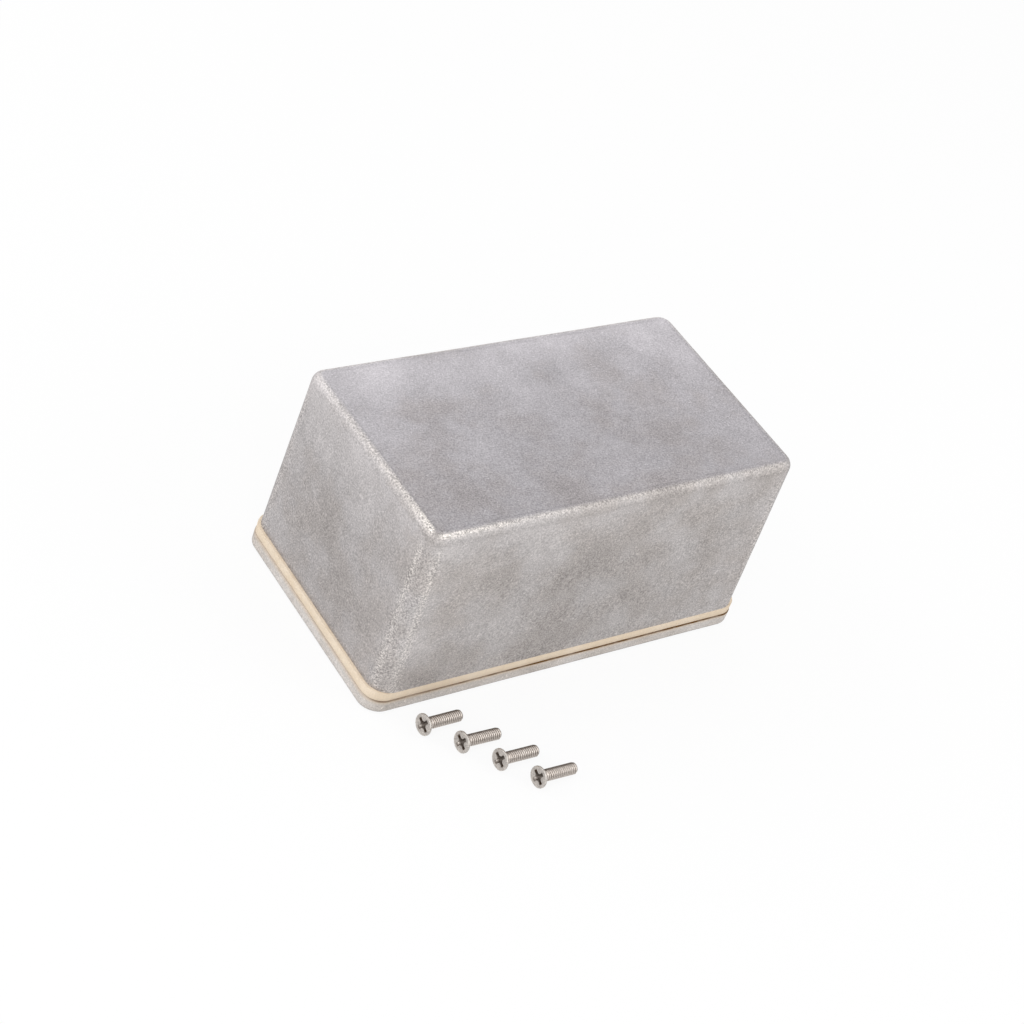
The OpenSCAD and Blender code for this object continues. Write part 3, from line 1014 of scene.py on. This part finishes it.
def cast_aluminium(name, side_tone, top_shaded_tone, worn_and_highlit_tone):
    """Tumbled die-casting: mottled grey with a fine grain, painted light and shade on its faces, cooler
    where lighter, a darker painted shade tone on the top, bright where edge wear and painted highlights
    lie.
    """
    finish = Finish(name)
    clouds = finish.swing(finish.noise(16, 3, 0.55))
    mottle = finish.swing(finish.noise(3.5, 4, 0.6, shift=7))
    pits = finish.swing(finish.noise(0.9, 2, 0.6, shift=13))
    grain = finish.swing(finish.noise(0.42, 2, 0.6, shift=3))
    specks = finish.remap(finish.noise(0.5, 0, 0.5, shift=21), 0.66, 0.78)
    # Painted light and shade near the edges of the faces; the tint turns cooler where it is lighter
    painted_light_and_shade = finish.mark("painted_light_and_shade")
    tint = finish.remap(finish.add(clouds, painted_light_and_shade, 0.8), -0.6, 1.0)
    sides = finish.mix(tint, tinted(side_tone, WARM_TINT), tinted(side_tone, COOL_TINT))
    top = finish.mix(tint, tinted(top_shaded_tone, WARM_TINT), tinted(top_shaded_tone, COOL_TINT))
    # The top takes a darker, cooler copy of the tone: painted shade
    body = finish.mix(finish.mark("painted_top_shade"), sides, top)
    grain_depth = finish.add(0.28, finish.mark("coarse"), 0.14)
    shade = finish.add(1.0, grain, grain_depth)
    for value, weight in ((clouds, 0.13), (mottle, 0.06), (pits, 0.05), (specks, 0.25), (painted_light_and_shade, 0.4)):
        shade = finish.add(shade, value, weight)
    along_x = finish.noise(0.4, 3, 0.6, stretch=(12, 1, 1), shift=5)
    along_y = finish.noise(0.4, 3, 0.6, stretch=(1, 12, 1), shift=11)
    streaks = finish.remap(finish.mix(finish.mark("end_share"), along_x, along_y), 0.32, 0.66, 0.45, 1.0)
    # Edge bands and corner stripes: wear with painted highlights
    edge = finish.math("MULTIPLY", finish.mark("edge_wear_and_highlight"), streaks)
    corner = finish.math("MULTIPLY", finish.mark("corner_wear_and_highlight"), finish.remap(grain, -0.7, 0.8, 0.25, 0.7))
    wear_and_highlight = finish.math("MAXIMUM", edge, corner)
    worn_and_highlit = finish.scaled(worn_and_highlit_tone, finish.add(1.0, grain, 0.6))
    colour = finish.mix(wear_and_highlight, finish.scaled(body, shade), worn_and_highlit)
    # A painted dark line along the casing's top edge, and painted shade along the lid's lower edge
    colour = finish.scaled(colour, finish.add(1.0, finish.mark("painted_dark_line"), -0.45))
    colour = finish.mix(finish.mark("stain"), colour, STAIN_TAN)
    # Brown darkening at the joint below the gasket, and painted shade at the casing's foot
    soil = finish.math("MULTIPLY", finish.mark("soil"), finish.remap(mottle, -1.0, 0.6, 0.75, 1.0))
    finish.put("Base Color", finish.mix(soil, colour, JOINT_BROWN))
    rough = finish.add(finish.remap(grain, -1.0, 1.0, 0.5, 0.6), wear_and_highlight, -0.2)
    finish.put("Roughness", finish.add(rough, soil, 0.3))
    finish.put("Metallic", finish.add(0.8, soil, -0.7))
    finish.put("Specular Tint", (0.6, 0.6, 0.62, 1))
    finish.bump(finish.add(grain, streaks, finish.mark("edge_wear_and_highlight")), 0.03)
    return finish.material


def gasket_rubber():
    """Matt tan sheet rubber with faint clouds, fine dust and upright cut lines on its sides."""
    finish = Finish("gasket_rubber")
    clouds = finish.remap(finish.noise(7, 3, 0.55), 0.35, 0.65)
    dust = finish.swing(finish.noise(0.35, 2, 0.6, shift=4))
    cuts = finish.noise(0.3, 2, 0.55, stretch=(1, 1, 14), shift=9)
    cut_depth = finish.math("MULTIPLY", cuts, finish.mark("side"))
    body = finish.mix(clouds, RUBBER_DARK, RUBBER_LIGHT)
    shade = finish.add(finish.remap(cut_depth, 0.2, 0.8, 1.0, 0.94), dust, 0.05)
    # Brown darkening in the joint at the lower edge, and a little dirt on the front
    soil = finish.math("MULTIPLY", finish.mark("soil"), finish.remap(dust, -1.0, 0.5, 0.8, 1.0))
    finish.put("Base Color", finish.mix(soil, finish.scaled(body, shade), JOINT_BROWN))
    finish.put("Roughness", finish.remap(dust, -1.0, 1.0, 0.72, 0.86))
    finish.put("Specular IOR Level", 0.3)
    finish.bump(finish.add(dust, cut_depth, 2.0), 0.03)
    return finish.material


def screw_steel():
    """Plain steel, a little warm, with scuffs, brown dirt and painted shade in the recess and the thread's
    root, and painted shade on two sides of the thread.
    """
    finish = Finish("screw_steel")
    tone = finish.remap(finish.noise(1.1, 3, 0.6), 0.3, 0.7)
    scuffs = finish.swing(finish.noise(0.3, 2, 0.6, shift=6))
    # Brown dirt and painted shade in the recess and the thread's root, painted shade on the thread's sides
    soil = finish.math("MULTIPLY", finish.mark("soil"), finish.remap(scuffs, -1.0, 0.4, 0.7, 1.0))
    head = finish.mix(tone, HEAD_DARK, HEAD_LIGHT)
    shank = finish.mix(tone, SHANK_DARK, SHANK_LIGHT)
    # The shank tone also lies on one recess wing as a painted highlight
    clean = finish.scaled(finish.mix(finish.mark("shank"), head, shank), finish.add(1.0, scuffs, 0.3))
    finish.put("Base Color", finish.mix(soil, clean, SCREW_BROWN))
    finish.put("Roughness", finish.add(finish.remap(scuffs, -1.0, 1.0, 0.26, 0.4), soil, 0.3))
    finish.put("Metallic", finish.add(1.0, soil, -0.9))
    finish.put("Specular IOR Level", finish.add(0.5, soil, -0.4))
    finish.bump(scuffs, 0.01)
    return finish.material


# Floor, world and lamps, in metres and watts. A softbox has a direction, a distance, a size and a power.
FLOOR_SIZE = 16.0
FLOOR_TONE = 0.9
FLOOR_WHITE = 0.88
WORLD_LIGHT = 0.72
SOFTBOXES = {
    "left_softbox": ((-0.64, 0.53, 0.56), 0.9, 0.6, 1.6),
    "right_softbox": ((0.56, -0.64, 0.53), 0.9, 0.6, 1.35),
    "top_softbox": ((0.1, 0.1, 1.0), 1.0, 0.8, 1.2),
    "near_softbox": ((-0.6, -0.6, 0.5), 1.0, 0.7, 2.3),
}


def seen_ray(tree):
    """1 on rays from the camera, in reflections and through clear things, and 0 on rays that only light."""
    path = tree.nodes.new("ShaderNodeLightPath")
    total = path.outputs["Is Camera Ray"]
    for name in ("Is Glossy Ray", "Is Transmission Ray"):
        either = tree.nodes.new("ShaderNodeMath")
        either.operation = "MAXIMUM"
        tree.links.new(total, either.inputs[0])
        tree.links.new(path.outputs[name], either.inputs[1])
        total = either.outputs[0]
    return total


def floor():
    """Plain white floor that keeps the object's shadow."""
    half = FLOOR_SIZE / 2
    mesh = bpy.data.meshes.new("floor")
    corners = [(-half, -half, 0), (half, -half, 0), (half, half, 0), (-half, half, 0)]
    mesh.from_pydata(corners, [], [(0, 1, 2, 3)])
    plane = bpy.data.objects.new("floor", mesh)
    bpy.context.scene.collection.objects.link(plane)
    material = bpy.data.materials.new("floor_white")
    material.use_nodes = True
    tree = material.node_tree
    tree.nodes.clear()
    matt = tree.nodes.new("ShaderNodeBsdfDiffuse")
    matt.inputs["Color"].default_value = (FLOOR_TONE, FLOOR_TONE, FLOOR_TONE, 1)
    glow = tree.nodes.new("ShaderNodeEmission")
    glow.inputs["Strength"].default_value = 1
    share = tree.nodes.new("ShaderNodeMath")
    share.operation = "MULTIPLY"
    share.inputs[1].default_value = FLOOR_WHITE
    tree.links.new(seen_ray(tree), share.inputs[0])
    mix = tree.nodes.new("ShaderNodeMixShader")
    tree.links.new(share.outputs[0], mix.inputs["Fac"])
    tree.links.new(matt.outputs[0], mix.inputs[1])
    tree.links.new(glow.outputs[0], mix.inputs[2])
    output = tree.nodes.new("ShaderNodeOutputMaterial")
    tree.links.new(mix.outputs[0], output.inputs["Surface"])
    mesh.materials.append(material)


def world():
    """Even white surroundings, at a plain level as light and white where they are seen."""
    made = bpy.data.worlds.new("studio")
    made.use_nodes = True
    tree = made.node_tree
    background = tree.nodes["Background"]
    background.inputs["Color"].default_value = (1, 1, 1, 1)
    level = tree.nodes.new("ShaderNodeMapRange")
    level.inputs["To Min"].default_value = WORLD_LIGHT
    level.inputs["To Max"].default_value = 1
    tree.links.new(seen_ray(tree), level.inputs["Value"])
    tree.links.new(level.outputs["Result"], background.inputs["Strength"])
    bpy.context.scene.world = made


def lamp(name, direction, distance, size, power):
    """Square softbox in that direction from the object, facing it."""
    light = bpy.data.lights.new(name, "AREA")
    light.shape = "SQUARE"
    light.size = size
    light.energy = power
    made = bpy.data.objects.new(name, light)
    away = Vector(direction).normalized()
    made.location = away * distance
    made.rotation_euler = away.to_track_quat("Z", "Y").to_euler()
    bpy.context.scene.collection.objects.link(made)


# Camera, as the photograph's was solved from the outline of the box
CAMERA_AIM = (-3.70, -0.38, 25.09)
CAMERA_DISTANCE = 568.55
CAMERA_AZIMUTH = -46.797
CAMERA_ELEVATION = 39.134
CAMERA_ROLL = 21.979
CAMERA_LENS = 79.97
CAMERA_SENSOR = 36


def camera():
    """Camera at the photograph's viewing angle."""
    turn = math.radians(CAMERA_AZIMUTH)
    rise = math.radians(CAMERA_ELEVATION)
    back = Vector((math.sin(turn) * math.cos(rise), -math.cos(turn) * math.cos(rise), math.sin(rise)))
    data = bpy.data.cameras.new("camera")
    data.sensor_width = CAMERA_SENSOR
    data.lens = CAMERA_LENS
    data.clip_start = 0.01
    data.clip_end = 50
    made = bpy.data.objects.new("camera", data)
    made.location = (Vector(CAMERA_AIM) + back * CAMERA_DISTANCE) * MM
    roll = Quaternion((0, 0, 1), math.radians(CAMERA_ROLL))
    made.rotation_mode = "QUATERNION"
    made.rotation_quaternion = (-back).to_track_quat("-Z", "Y") @ roll
    bpy.context.scene.collection.objects.link(made)
    bpy.context.scene.camera = made


def add_piece(piece, node):
    """Ties a piece to the frame: it rides on the one body, and the node's own part is hidden."""
    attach(piece, "root")
    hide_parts(node)


casing_metal = cast_aluminium("cast_aluminium", CASING_SIDE, CASING_TOP_SHADED, CASING_WORN_AND_HIGHLIT)
lid_metal = cast_aluminium("lid_aluminium", LID_SIDE, LID_TOP_SHADED, LID_WORN_AND_HIGHLIT)
steel = screw_steel()
add_piece(casing(casing_metal), "casing")
add_piece(lid(lid_metal), "lid")
add_piece(gasket(gasket_rubber()), "gasket")
for count, place in enumerate(screw_places(), 1):
    add_piece(screw(f"lid_screw_{count}", steel, place), "lid_screws")

floor()
world()
for name, (direction, distance, size, power) in SOFTBOXES.items():
    lamp(name, direction, distance, size, power)
camera()
bpy.context.scene.view_settings.view_transform = "Standard"
